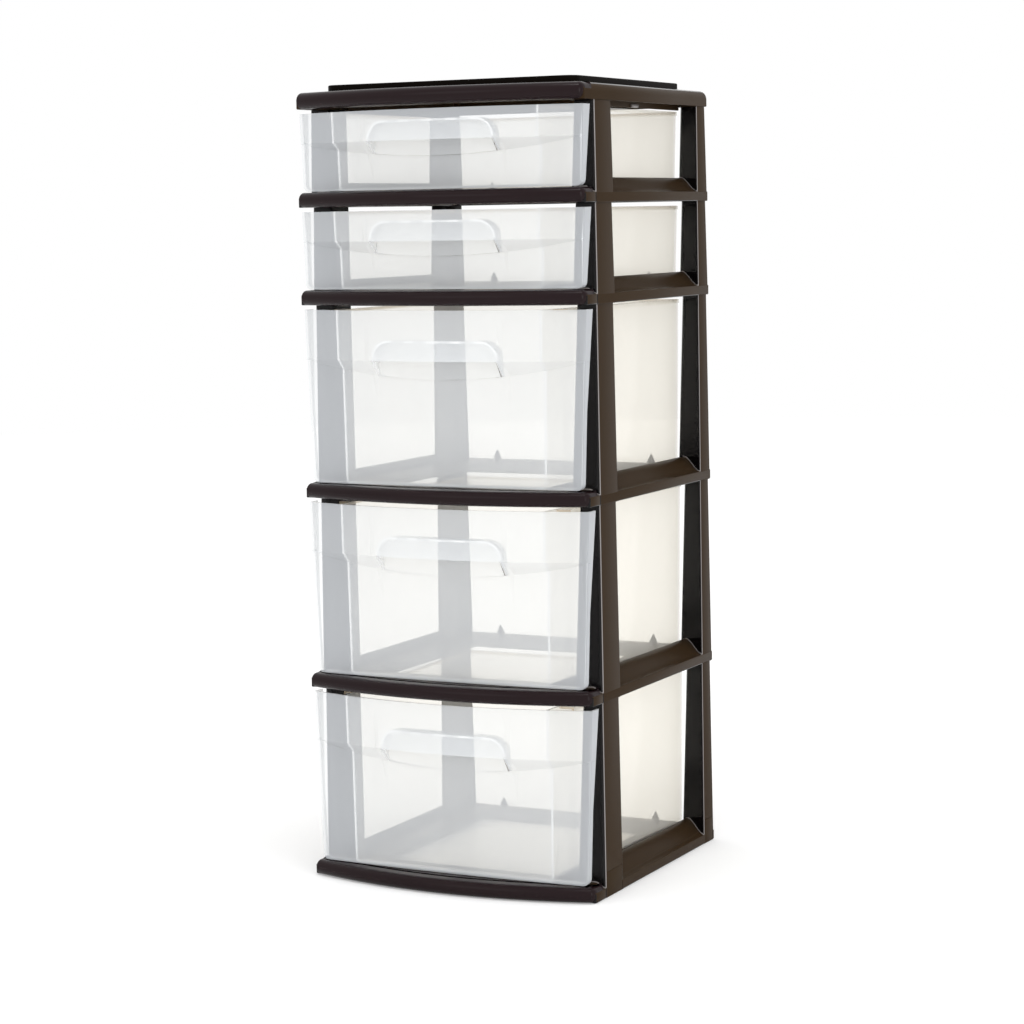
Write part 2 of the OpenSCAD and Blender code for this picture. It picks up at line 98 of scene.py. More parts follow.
bpy.ops.mesh.primitive_circle_add(vertices=96, radius=floor_radius, fill_type="NGON",
                                  location=(0, 0, -0.0005))
studio_floor = bpy.context.object
studio_floor.name = "studio_floor"
bpy.ops.object.transform_apply(location=True, rotation=True, scale=True)
floor_paint = bpy.data.materials.new("studio_floor_paint")
floor_paint.use_nodes = True
floor_nodes = floor_paint.node_tree.nodes
floor_links = floor_paint.node_tree.links
matte = floor_nodes["Principled BSDF"]
matte.inputs["Base Color"].default_value = floor_grey
matte.inputs["Roughness"].default_value = 0.9
matte.inputs["Specular IOR Level"].default_value = 0
glow = floor_nodes.new("ShaderNodeEmission")
glow.inputs["Strength"].default_value = floor_glow
dark = floor_nodes.new("ShaderNodeEmission")
dark.inputs["Strength"].default_value = 0
glow_when_seen = floor_nodes.new("ShaderNodeMixShader")
floor_links.new(seen_ray(floor_nodes, floor_links), glow_when_seen.inputs[0])
floor_links.new(dark.outputs[0], glow_when_seen.inputs[1])
floor_links.new(glow.outputs[0], glow_when_seen.inputs[2])
floor_sum = floor_nodes.new("ShaderNodeAddShader")
floor_links.new(matte.outputs[0], floor_sum.inputs[0])
floor_links.new(glow_when_seen.outputs[0], floor_sum.inputs[1])
floor_links.new(floor_sum.outputs[0], floor_nodes["Material Output"].inputs["Surface"])
studio_floor.data.materials.append(floor_paint)

tower_middle = (0, 0, 0.4)
for lamp_name, place, width, height, power in (
    ("right_strip_light", (2.05, -1.05, 0.8), 0.12, 1.9, 9),
    ("front_softbox", (-0.9, -2.6, 1.6), 1.2, 1.2, 4),
    ("overhead_softbox", (0.2, -0.5, 2.6), 0.4, 0.4, 6),
):
    lamp_data = bpy.data.lights.new(lamp_name, "AREA")
    lamp_data.shape = "RECTANGLE"
    lamp_data.size = width
    lamp_data.size_y = height
    lamp_data.energy = power
    lamp = bpy.data.objects.new(lamp_name, lamp_data)
    bpy.context.scene.collection.objects.link(lamp)
    aim = Vector(tower_middle) - Vector(place)
    lamp.matrix_world = Matrix.Translation(place) @ aim.to_track_quat("-Z", "Y").to_matrix().to_4x4()

# Each tier is one moulding in dark brown plastic: a shelf ring with a rolled front lip, two side rails
# with an S-shaped slope and a back rail, two runners for the drawer, and four hollow tapered posts.
# A plug on each post's head stands in the foot of the post above.
tall_tier, short_tier = 0.1955, 0.098
tier_pitches = [tall_tier] * 3 + [short_tier] * 2
seams = [0]
for pitch in tier_pitches:
    seams.append(round(seams[-1] + pitch, 4))
half_width, back_face, post_front = 0.160, 0.165, -0.112
frame_wall = 0.0024
past_face = 0.001


def edit(piece, kind):
    bpy.ops.object.select_all(action="DESELECT")
    bpy.context.view_layer.objects.active = piece
    piece.select_set(True)
    bpy.ops.object.mode_set(mode="EDIT")
    bpy.ops.mesh.select_mode(type=kind)


def pick(piece, kind, test):
    """Selects the corners, edges or faces that pass the test, and nothing else"""
    mesh = bmesh.from_edit_mesh(piece.data)
    for group in (mesh.faces, mesh.edges, mesh.verts):
        for part in group:
            part.select_set(False)
    for part in [p for p in getattr(mesh, kind) if test(p)]:
        part.select_set(True)
    mesh.select_flush_mode()
    bmesh.update_edit_mesh(piece.data)


def pull(piece, number, place):
    """Moves one corner to its place"""
    pick(piece, "verts", lambda corner: corner.index == number)
    mesh = bmesh.from_edit_mesh(piece.data)
    mesh.verts.ensure_lookup_table()
    bpy.ops.transform.translate(value=Vector(place) - mesh.verts[number].co)


def sheet(name, corners):
    """A flat many-sided face, each of its corners pulled to its place"""
    bpy.ops.object.select_all(action="DESELECT")
    bpy.ops.mesh.primitive_circle_add(
        vertices=len(corners), radius=0.01, fill_type="NGON", location=(0, 0, 0))
    piece = bpy.context.object
    piece.name = piece.data.name = name
    edit(piece, "VERT")
    for number, corner in enumerate(corners):
        pull(piece, number, corner)
    return piece


def face_out(piece):
    edit(piece, "VERT")
    bpy.ops.mesh.select_all(action="SELECT")
    bpy.ops.mesh.remove_doubles(threshold=0.00001)
    bpy.ops.mesh.normals_make_consistent(inside=False)
    bpy.ops.object.mode_set(mode="OBJECT")


def prism(name, corners, way):
    """A flat outline run along one way"""
    piece = sheet(name, corners)
    bpy.ops.mesh.select_all(action="SELECT")
    bpy.ops.mesh.extrude_region_move(TRANSFORM_OT_translate={"value": way})
    bpy.ops.object.mode_set(mode="OBJECT")
    face_out(piece)
    return piece


def block(name, x, y, z):
    """A block between its low and high side in each direction"""
    corners = [(x[0], y[0], z[0]), (x[1], y[0], z[0]), (x[1], y[1], z[0]), (x[0], y[1], z[0])]
    return prism(name, corners, (0, 0, z[1] - z[0]))


def finish_with(piece, kind, **settings):
    """Adds a modifier with its settings and applies it"""
    bpy.context.view_layer.objects.active = piece
    step = piece.modifiers.new(kind.lower(), kind)
    for setting, value in settings.items():
        setattr(step, setting, value)
    bpy.ops.object.modifier_apply(modifier=step.name)


def cut(piece, tool):
    finish_with(piece, "BOOLEAN", operation="DIFFERENCE", solver="EXACT", object=tool)
    bpy.data.objects.remove(tool)


def soften(piece, width, segments=2, angle=32):
    finish_with(piece, "BEVEL", width=width, segments=segments, limit_method="ANGLE",
                angle_limit=math.radians(angle), use_clamp_overlap=True)


def other_side(piece, name):
    """The same piece for the left-hand side"""
    twin = piece.copy()
    twin.data = piece.data.copy()
    twin.name = twin.data.name = name
    bpy.context.scene.collection.objects.link(twin)
    edit(twin, "VERT")
    bpy.ops.mesh.select_all(action="SELECT")
    bpy.ops.transform.resize(value=(-1, 1, 1), center_override=(0, 0, 0))
    bpy.ops.mesh.flip_normals()
    bpy.ops.object.mode_set(mode="OBJECT")
    return twin


def copy_up(piece, name, height):
    twin = piece.copy()
    twin.data = piece.data.copy()
    twin.name = twin.data.name = name
    bpy.context.scene.collection.objects.link(twin)
    edit(twin, "VERT")
    bpy.ops.mesh.select_all(action="SELECT")
    bpy.ops.transform.translate(value=(0, 0, height))
    bpy.ops.object.mode_set(mode="OBJECT")
    return twin


def joined(name, pieces):
    bpy.ops.object.select_all(action="DESELECT")
    for piece in pieces:
        piece.select_set(True)
    bpy.context.view_layer.objects.active = pieces[0]
    if len(pieces) > 1:
        bpy.ops.object.join()
    pieces[0].name = pieces[0].data.name = name
    return pieces[0]


def smooth(piece, angle=35):
    bpy.ops.object.select_all(action="DESELECT")
    bpy.context.view_layer.objects.active = piece
    piece.select_set(True)
    bpy.ops.object.shade_smooth_by_angle(angle=math.radians(angle))


lip_height, top_lip_height = 0.015, 0.0165
bow_radius, bow_centre = 0.5053, 0.3403
lip_depth, lip_half, lip_hollow_half, lip_end_round = 0.020, 0.1596, 0.1515, 0.0062
lip_spare, lip_corner_y = 0.012, -0.119


def lip_bar(name, height, inset, half):
    """The rolled lip: its section is spun round the centre of the tower's bow, a little too far to
    both sides, and then cut to its length"""
    nose = height / 2
    reach = math.asin((half + lip_spare) / bow_radius)
    section = [(bow_radius - lip_depth + inset, -past_face if inset else 0)]
    if inset:
        section.append((bow_radius - nose, -past_face))
    for step in range(13):
        angle = math.radians(15 * step - 90)
        section.append((bow_radius - nose + (nose - inset) * math.cos(angle),
                        nose + (nose - inset) * math.sin(angle)))
    section.append((bow_radius - lip_depth + inset, height - inset))
    bar = sheet(name, [(-r * math.sin(reach), bow_centre - r * math.cos(reach), z)
                       for r, z in section])
    bpy.ops.mesh.select_all(action="SELECT")
    bpy.ops.mesh.spin(steps=44, angle=-2 * reach, center=(0, bow_centre, 0), axis=(0, 0, 1))
    bpy.ops.object.mode_set(mode="OBJECT")
    face_out(bar)
    edit(bar, "VERT")
    for side in (-1, 1):
        bpy.ops.mesh.select_all(action="SELECT")
        bpy.ops.mesh.bisect(plane_co=(side * half, 0, 0), plane_no=(side, 0, 0), clear_outer=True,
                            use_fill=True)
    bpy.ops.object.mode_set(mode="OBJECT")
    return bar


def front_bar(name, height):
    bar = lip_bar(name, height, 0, lip_half)
    cut(bar, lip_bar("lip_hollow", height, frame_wall, lip_hollow_half))
    edit(bar, "EDGE")
    pick(bar, "edges", lambda e: all(abs(v.co.x) > lip_half - 0.00001 for v in e.verts)
         and min(v.co.y for v in e.verts) < lip_corner_y)
    bpy.ops.mesh.bevel(offset=lip_end_round, segments=6, affect="EDGES")
    bpy.ops.object.mode_set(mode="OBJECT")
    return bar


rail_inner, web_radius, web_back = 0.137, 0.4900, -0.104


def web(name, height):
    """The flat plate between the lip and the front posts"""
    across = [rail_inner * (step / 6 - 1) for step in range(13)]
    outline = [(x, bow_centre - math.sqrt(web_radius ** 2 - x * x), height) for x in across]
    outline += [(rail_inner, web_back, height), (-rail_inner, web_back, height)]
    plate = prism(name, outline, (0, 0, -frame_wall))
    soften(plate, 0.0004, 1)
    return plate


rail_edge, rail_rise, slope_width, slope_parts = 0.010, 0.0145, 0.023, 14
rail_top = rail_edge + rail_rise
rail_round, corner_front, corner_overlap = 0.0009, -0.1352, 0.0001


def ogee(x, drop=0.0):
    """Height of the side rail's slope at a distance x from the middle"""
    return rail_edge - drop + rail_rise * (1 - math.cos(math.pi * (half_width - x) / slope_width)) / 2


def slope_steps(outer):
    """The distances from the middle at which the slope is drawn, from its outer side inwards"""
    return [outer - (outer - rail_inner) * step / slope_parts for step in range(slope_parts + 1)]


def rail_part(name, y0, y1, top, inset):
    """A length of the side rail, no higher than top, or of the hollow in it"""
    inner = rail_inner if inset else rail_inner - frame_wall
    outer = half_width - inset
    low = -past_face if inset else 0
    slope = [(x, min(ogee(x, inset), top - inset)) for x in slope_steps(outer)]
    line = [(inner, low), (outer, low)] + slope
    if not inset:
        line.append((inner, min(rail_top, top)))
    return prism(name, [(x, y0, z) for x, z in line], (0, y1 - y0, 0))


def side_rail(name):
    rail = rail_part(name, post_front, back_face, 1, 0)
    cut(rail, rail_part("rail_hollow", post_front + frame_wall, back_face - frame_wall, 1, frame_wall))
    corner = rail_part("rail_corner", corner_front, post_front + corner_overlap, lip_height, 0)
    cut(corner, rail_part("corner_hollow", corner_front + frame_wall, post_front + 2 * past_face,
                          lip_height, frame_wall))
    soften(rail, rail_round)
    soften(corner, rail_round)
    return joined(name, [rail, corner])


post_round, cheek_top = 0.003, 0.026


def post(name, foot, head, height, notch=None):
    """A hollow tapered post, open at its foot. A base post has a notch in its outer wall."""
    piece = prism(name, [(x, y, 0) for x, y in foot], (0, 0, height))
    edit(piece, "VERT")
    for (x, y), place in zip(foot, head):
        mesh = bmesh.from_edit_mesh(piece.data)
        number = [v.index for v in mesh.verts if (v.co - Vector((x, y, height))).length < 0.0001][0]
        pull(piece, number, (*place, height))
    bpy.ops.mesh.select_mode(type="EDGE")
    pick(piece, "edges", lambda e: abs(e.verts[0].co.z - e.verts[1].co.z) > height / 2)
    bpy.ops.mesh.bevel(offset=post_round, segments=4, affect="EDGES")
    bpy.ops.mesh.select_mode(type="FACE")
    pick(piece, "faces", lambda f: f.normal.z < -0.9)
    bpy.ops.mesh.delete(type="ONLY_FACE")
    if notch:
        for place, way in (((0, notch[0], 0), (0, 1, 0)), ((0, notch[1], 0), (0, 1, 0)),
                           ((0, 0, cheek_top), (0, 0, 1))):
            pick(piece, "faces", lambda f: f.normal.x > 0.98)
            bpy.ops.mesh.bisect(plane_co=place, plane_no=way)
        pick(piece, "faces", lambda f: f.normal.x > 0.98 and f.calc_center_median().z < cheek_top
             and notch[0] < f.calc_center_median().y < notch[1])
        bpy.ops.mesh.delete(type="FACE")
    bpy.ops.object.mode_set(mode="OBJECT")
    finish_with(piece, "SOLIDIFY", thickness=frame_wall, offset=-1, use_even_offset=True)
    soften(piece, 0.0004, 1)
    return piece


def round_uprights(piece, width):
    edit(piece, "EDGE")
    pick(piece, "edges", lambda e: abs(e.verts[0].co.z - e.verts[1].co.z) > 0.005)
    bpy.ops.mesh.bevel(offset=width, segments=3, affect="EDGES")
    bpy.ops.object.mode_set(mode="OBJECT")


def plug(name, corners, height):
    piece = prism(name, [(x, y, height - past_face) for x, y in corners], (0, 0, plug_height))
    round_uprights(piece, post_round)
    soften(piece, 0.001, 1)
    return piece


post_inner, head_outer, back_post_inner, plug_height = 0.1365, 0.1585, 0.131, 0.009
front_post_back, back_post_front, back_post_side = -0.074, 0.150, 0.137
side_lean_in, front_lean_in, back_lean_in, back_post_across = 0.04, 0.06, 0.012, 0.031
front_head = [(post_inner, -0.1105), (head_outer, -0.1105), (head_outer, -0.071),
              (post_inner, front_post_back)]
back_head = [(post_inner, back_post_front), (head_outer, 0.140), (head_outer, 0.1635),
             (back_post_inner, 0.1635)]
front_plug = [(0.1377, -0.1093), (0.1573, -0.1093), (0.1573, -0.0742), (0.1377, -0.0843)]
back_plug = [(0.1377, 0.1507), (0.1573, 0.1415), (0.1573, 0.1623), (0.1377, 0.1623)]


def front_foot(height):
    """The outline of a front post's foot, wider than its head by a share of the post's height"""
    inner = post_inner - side_lean_in * height
    return [(inner, post_front), (half_width, post_front), (half_width, -0.0695),
            (inner, front_post_back - front_lean_in * height)]


def back_foot(height):
    return [(post_inner - side_lean_in * height, back_post_front), (half_width, back_post_side),
            (half_width, back_face), (back_post_inner - back_lean_in * height, back_face)]


def posts(height, front_notch=None, back_notch=None):
    """The four posts of a tier, with the plugs on their heads"""
    right = [
        post("front_post", front_foot(height), front_head, height, front_notch),
        post("back_post", back_foot(height), back_head, height, back_notch),
        plug("front_plug", front_plug, height),
        plug("back_plug", back_plug, height),
    ]
    return right + [other_side(piece, piece.name + "_left") for piece in right]


fillet_sink, fillet_out, fillet_depth, fillet_round = 0.0005, 0.0010, 0.0014, 0.0003
back_rail_front, runner_length, stop_front, stop_depth = 0.153, 0.266, 0.1596, 0.003
runner_line = [(0.1006, 0.0065), (0.103, 0.0065), (0.103, 0.0131), (0.135, 0.0131),
               (0.135, 0.0155), (0.1006, 0.0155)]
stop_line = [(0.0875, 0.0148), (0.0965, 0.0148), (0.0965, 0.017), (0.093, 0.025)]


def front_post_face(x):
    """The front of the front post, which is square to the tower's side"""
    return post_front


def back_post_face(x):
    """The front of the back post, which runs a little backwards from the tower's side"""
    return back_post_side + (back_post_front - back_post_side) * (half_width - x) / back_post_across


def post_fillet(name, face_y, top):
    """The small fillet where the slope of the rail runs into the front of a post, painted light grey as
    a painted highlight
    """
    steps = slope_steps(half_width - fillet_sink)
    line = [(x, face_y(x) - fillet_out, min(ogee(x), top) - fillet_sink) for x in steps]
    line += [(x, face_y(x) - fillet_out, min(ogee(x), top) + fillet_out) for x in reversed(steps)]
    fillet = prism(name, line, (0, fillet_depth, 0))
    soften(fillet, fillet_round)
    return fillet


def shelf_ring():
    """The ring with its lip, rails, runners and the two small stops on its back rail"""
    back = block("back_rail", (-rail_inner, rail_inner), (back_rail_front, back_face), (0, lip_height))
    cut(back, block("back_hollow", (-rail_inner - past_face, rail_inner + past_face),
                    (back_rail_front + frame_wall, back_face - frame_wall),
                    (-past_face, lip_height - frame_wall)))
    soften(back, 0.0006)
    runner = prism("runner", [(x, post_front, z) for x, z in runner_line], (0, runner_length, 0))
    soften(runner, 0.0005)
    stop = prism("stop", [(x, stop_front, z) for x, z in stop_line], (0, stop_depth, 0))
    soften(stop, 0.0004)
    fillets = [post_fillet("front_fillet", front_post_face, lip_height),
               post_fillet("back_fillet", back_post_face, rail_top)]
    right = [side_rail("side_rail"), runner, stop] + fillets
    left = [other_side(piece, piece.name + "_left") for piece in right]
    return [front_bar("lip", lip_height), web("web", lip_height), back] + right + left


def moulded_skin():
    """A node group for moulded plastic: faint clouds in the colour, uneven gloss and a fine grain"""
    tree = bpy.data.node_groups.new("moulded_skin", "ShaderNodeTree")
    for label, way, kind in (
        ("Cloud Size", "INPUT", "NodeSocketFloat"),
        ("Grain Size", "INPUT", "NodeSocketFloat"),
        ("Dark", "INPUT", "NodeSocketColor"),
        ("Light", "INPUT", "NodeSocketColor"),
        ("Smoothest", "INPUT", "NodeSocketFloat"),
        ("Roughest", "INPUT", "NodeSocketFloat"),
        ("Colour", "OUTPUT", "NodeSocketColor"),
        ("Roughness", "OUTPUT", "NodeSocketFloat"),
        ("Height", "OUTPUT", "NodeSocketFloat"),
    ):
        tree.interface.new_socket(label, in_out=way, socket_type=kind)
    nodes, links = tree.nodes, tree.links
    given = nodes.new("NodeGroupInput")
    result = nodes.new("NodeGroupOutput")
    place = nodes.new("ShaderNodeTexCoord")
    cloud = nodes.new("ShaderNodeTexNoise")
    cloud.inputs["Detail"].default_value = 3
    links.new(place.outputs["Object"], cloud.inputs["Vector"])
    links.new(given.outputs["Cloud Size"], cloud.inputs["Scale"])
    grain = nodes.new("ShaderNodeTexNoise")
    grain.inputs["Detail"].default_value = 2
    links.new(place.outputs["Object"], grain.inputs["Vector"])
    links.new(given.outputs["Grain Size"], grain.inputs["Scale"])
    blend = nodes.new("ShaderNodeMix")
    blend.data_type = "RGBA"
    links.new(cloud.outputs["Fac"], blend.inputs["Factor"])
    links.new(given.outputs["Dark"], blend.inputs["A"])
    links.new(given.outputs["Light"], blend.inputs["B"])
    links.new(blend.outputs["Result"], result.inputs["Colour"])
    gloss = nodes.new("ShaderNodeMapRange")
    gloss.inputs["From Min"].default_value = 0.3
    gloss.inputs["From Max"].default_value = 0.7
    links.new(cloud.outputs["Fac"], gloss.inputs["Value"])
    links.new(given.outputs["Smoothest"], gloss.inputs["To Min"])
    links.new(given.outputs["Roughest"], gloss.inputs["To Max"])
    links.new(gloss.outputs["Result"], result.inputs["Roughness"])
    links.new(grain.outputs["Fac"], result.inputs["Height"])
    return tree


skin_group = moulded_skin()


def dark_plastic(name, dark, light, smoothest, roughest, shine, bump):
    material = bpy.data.materials.new(name)
    material.use_nodes = True
    nodes, links = material.node_tree.nodes, material.node_tree.links
    shader = nodes["Principled BSDF"]
    skin = nodes.new("ShaderNodeGroup")
    skin.node_tree = skin_group
    skin.inputs["Cloud Size"].default_value = 9
    skin.inputs["Grain Size"].default_value = 1400
    skin.inputs["Dark"].default_value = (*dark, 1)
    skin.inputs["Light"].default_value = (*light, 1)
    skin.inputs["Smoothest"].default_value = smoothest
    skin.inputs["Roughest"].default_value = roughest
    links.new(skin.outputs["Colour"], shader.inputs["Base Color"])
    links.new(skin.outputs["Roughness"], shader.inputs["Roughness"])
    grain = nodes.new("ShaderNodeBump")
    grain.inputs["Strength"].default_value = bump
    grain.inputs["Distance"].default_value = 0.0002
    links.new(skin.outputs["Height"], grain.inputs["Height"])
    links.new(grain.outputs["Normal"], shader.inputs["Normal"])
    shader.inputs["IOR"].default_value = 1.46
    shader.inputs["Specular IOR Level"].default_value = shine
    return material


frame_satin = dark_plastic("espresso_satin", (0.029, 0.0165, 0.0075), (0.041, 0.0255, 0.0135),
                           0.32, 0.42, 0.04, 0.25)
# The same brown plastic, polished, with painted shade: near black for the faces turned to the front and
# inwards.
frame_painted_shade = dark_plastic("espresso_polish_painted_shade", (0.003, 0.0025, 0.003), (0.006, 0.005, 0.005),
                           0.14, 0.20, 0.22, 0.05)
# The rolled lips and the plate behind them: a glossier finish, and partly painted shade, darker than the
# brown plastic as the front-facing lips fall dark.
lip_gloss_painted_shade = dark_plastic("espresso_gloss", (0.011, 0.005, 0.006), (0.016, 0.008, 0.009),
                         0.18, 0.24, 0.14, 0.08)
# A painted highlight: light grey with a strong gloss, standing in for the shine on rounded corners,
# fillets and the small catch.
frame_painted_highlight = dark_plastic("espresso_painted_highlight", (0.20, 0.18, 0.175), (0.26, 0.24, 0.235),
                          0.14, 0.20, 0.8, 0.02)


def two_skins(piece):
    """Outer faces have the fine texture of the mould and the plastic's brown. The rest is polished and
    painted near black as painted shade, and the rounded front corners of the posts are painted light
    grey as a painted highlight"""
    for each_material in (frame_satin, frame_painted_shade, frame_painted_highlight):
        piece.data.materials.append(each_material)
    edit(piece, "FACE")
    # Faces turned to the front, inwards or down get the painted shade.
    pick(piece, "faces", lambda f: abs(f.normal.x) < 0.93 and f.normal.z < 0.3 and f.normal.y < 0.5
         or f.normal.x * f.calc_center_median().x < 0)
    piece.active_material_index = 1
    bpy.ops.object.material_slot_assign()
    # The rounded front corners of the posts get the painted highlight.
    if "post" in piece.name:
        pick(piece, "faces", lambda f: 0.6 < abs(f.normal.x) < 0.85 and f.normal.y < -0.5
             and f.normal.x * f.calc_center_median().x > 0)
        piece.active_material_index = 2
        bpy.ops.object.material_slot_assign()
    bpy.ops.object.mode_set(mode="OBJECT")


ring_pieces = shelf_ring()
front_notch, back_notch, notch_inner = (-0.1086, -0.0729), (0.1404, 0.1616), 0.1549
base_posts = posts(tall_tier, front_notch, back_notch)
tall_posts = posts(tall_tier)
short_posts = posts(short_tier)
for piece in ring_pieces + base_posts + tall_posts + short_posts:
    if piece.name.startswith(("lip", "web")):
        piece.data.materials.append(lip_gloss_painted_shade)
    # The fillets carry the painted highlight.
    elif "fillet" in piece.name:
        piece.data.materials.append(frame_painted_highlight)
    else:
        two_skins(piece)
base_ring = [copy_up(piece, "base_" + piece.name, 0) for piece in ring_pieces]
for piece in base_ring:
    if "side_rail" in piece.name:
        across = (notch_inner, half_width + past_face)
        if piece.name.endswith("left"):
            across = (-half_width - past_face, -notch_inner)
        for notch in (front_notch, back_notch):
            cut(piece, block("cheek_notch", across, notch, (-past_face, cheek_top)))
base_tier = joined("base_tier", base_ring + base_posts)
ring = joined("ring", ring_pieces)
tall_posts = joined("tall_posts", tall_posts)
short_posts = joined("short_posts", short_posts)
for tier, pitch in enumerate(tier_pitches):
    if tier == 0:
        tier_piece = copy_up(base_tier, "shelf_frame_1", 0)
    else:
        uprights = tall_posts if pitch == tall_tier else short_posts
        tier_piece = joined(f"shelf_frame_{tier + 1}", [
            copy_up(ring, "ring_copy", seams[tier]), copy_up(uprights, "post_copy", seams[tier])])
    smooth(tier_piece)
    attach(tier_piece, "root")
    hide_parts(f"tier_frame_{tier + 1}")
for piece in (base_tier, ring, tall_posts, short_posts):
    bpy.data.objects.remove(piece)

# A foot is a small moulding in the same brown plastic, a little duller. Its plug is pushed up into
# a base post from below, and its cheek fills a notch in the post's outer wall.
foot_dull = dark_plastic("espresso_dull", (0.032, 0.019, 0.010), (0.043, 0.028, 0.015),
                         0.46, 0.56, 0.04, 0.3)
stem_height, cheek_rise, cheek_inner = 0.018, 0.0077, 0.1552


def post_foot(name, corners, y0, y1):
    stem = prism(name, [(x, y, 0) for x, y in corners], (0, 0, stem_height))
    round_uprights(stem, post_round)
    soften(stem, 0.0004)
    cheek = block("cheek", (cheek_inner, half_width), (y0, y1), (0, stem_height))
    edit(cheek, "FACE")
    pick(cheek, "faces", lambda f: f.normal.z > 0.9)
    bpy.ops.mesh.extrude_region_move(TRANSFORM_OT_translate={"value": (0, 0, cheek_rise)})
    bpy.ops.mesh.select_mode(type="VERT")
    pick(cheek, "verts", lambda v: v.co.z > stem_height + cheek_rise - 0.0001
         and v.co.x < cheek_inner + 0.0001)
    bpy.ops.transform.translate(value=(frame_wall, 0, 0))
    bpy.ops.object.mode_set(mode="OBJECT")
    soften(cheek, 0.0005)
    return joined(name, [stem, cheek])


front_stem = [(0.1314, -0.1093), (0.1573, -0.1093), (0.1573, -0.0739), (0.1314, -0.0874)]
back_stem = [(0.1314, 0.1516), (0.1573, 0.1410), (0.1573, 0.1623), (0.1314, 0.1623)]
for place, stem_line, y0, y1 in (("front", front_stem, -0.1083, -0.0732),
                                 ("back", back_stem, 0.1407, 0.1613)):
    right_foot = post_foot(f"post_foot_{place}_right", stem_line, y0, y1)
    right_foot.data.materials.append(foot_dull)
    left_foot = other_side(right_foot, f"post_foot_{place}_left")
    for side, piece in (("right", right_foot), ("left", left_foot)):
        smooth(piece)
        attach(piece, "root")
        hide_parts(f"foot_{place}_{side}")

# The top panel closes the stack: a hollow slab with a deeper rolled lip, a low tray wall on top,
# sockets for the last posts' plugs, and under each side a guide with a small catch.
rim_round = 0.009
tray_half, tray_front, tray_back, tray_round, tray_thick = 0.140, -0.115, 0.145, 0.014, 0.006
tray_low, tray_height, tray_fillet = 0.0163, 0.0077, 0.0016
tray_foot_low, tray_foot_height, tray_foot_inset = 0.0160, 0.0021, 0.002
opening_low, opening_height = 0.010, 0.020
guide_x, guide_front, guide_back, guide_low, guide_top = 0.132, -0.0799, 0.150, -0.0035, 0.0145
catch_front, catch_back = 0.0271, 0.0431


def slab(name, inset):
    low = -past_face if inset else 0
    line = [(half_width - inset, low)]
    for step in range(9):
        angle = math.radians(90 * step / 8)
        line.append((half_width - rim_round + (rim_round - inset) * math.cos(angle),
                     top_lip_height - rim_round + (rim_round - inset) * math.sin(angle)))
    line += [(-x, z) for x, z in reversed(line)]
    y0, y1 = corner_front + inset, back_face - inset
    return prism(name, [(x, y0, z) for x, z in line], (0, y1 - y0, 0))


def ring_wall(name, x, y0, y1, radius, z0, height):
    """A block with four rounded corners, seen from above"""
    line = []
    for cx, cy, first in ((x, y0, -90), (x, y1, 0), (-x, y1, 90), (-x, y0, 180)):
        for step in range(7):
            angle = math.radians(first + 15 * step)
            line.append((cx - math.copysign(radius, cx) + radius * math.cos(angle),
                         cy + (radius if cy == y0 else -radius) + radius * math.sin(angle), z0))
    return prism(name, line, (0, 0, height))


top = slab("top_slab", 0)
cut(top, slab("slab_hollow", frame_wall))
soften(top, 0.0010)
tray = ring_wall("tray_wall", tray_half, tray_front, tray_back, tray_round, tray_low, tray_height)
cut(tray, ring_wall("tray_opening", tray_half - tray_thick, tray_front + tray_thick,
                    tray_back - tray_thick, tray_round - tray_thick, opening_low, opening_height))
soften(tray, 0.0012, 3)
tray_foot = ring_wall("tray_foot", tray_half + tray_fillet, tray_front - tray_fillet,
                      tray_back + tray_fillet, tray_round + tray_fillet, tray_foot_low,
                      tray_foot_height)
edit(tray_foot, "EDGE")
pick(tray_foot, "edges", lambda e: all(v.co.z > tray_foot_low + 0.002 for v in e.verts))
bpy.ops.mesh.bevel(offset=tray_fillet, segments=3, affect="EDGES")
bpy.ops.object.mode_set(mode="OBJECT")
cut(tray_foot, ring_wall("foot_opening", tray_half - tray_foot_inset, tray_front + tray_foot_inset,
                         tray_back - tray_foot_inset, tray_round - tray_foot_inset, opening_low,
                         opening_height))
guide = block("guide", (guide_x, guide_x + frame_wall), (guide_front, guide_back),
              (guide_low, guide_top))
soften(guide, 0.0005)
catch = block("catch", (guide_x + frame_wall, guide_x + 2 * frame_wall), (catch_front, catch_back),
              (guide_low, 0))
soften(catch, 0.0006)
socket_x, socket_y, socket_height = 0.1565, 0.1625, 0.0135
front_hole = [(min(x, socket_x), y) for x, y in front_foot(short_tier)]
back_hole = [(min(x, socket_x), min(y, socket_y)) for x, y in back_foot(short_tier)]
sockets = [post("front_socket", front_hole, front_hole, socket_height),
           post("back_socket", back_hole, back_hole, socket_height), guide, catch]
sockets += [other_side(piece, piece.name + "_left") for piece in sockets]
top_pieces = [top, front_bar("top_lip", top_lip_height), web("top_web", top_lip_height), tray,
              tray_foot] + sockets
top_gloss = dark_plastic("espresso_top", (0.014, 0.009, 0.008), (0.022, 0.015, 0.012),
                         0.10, 0.14, 1.0, 0.04)
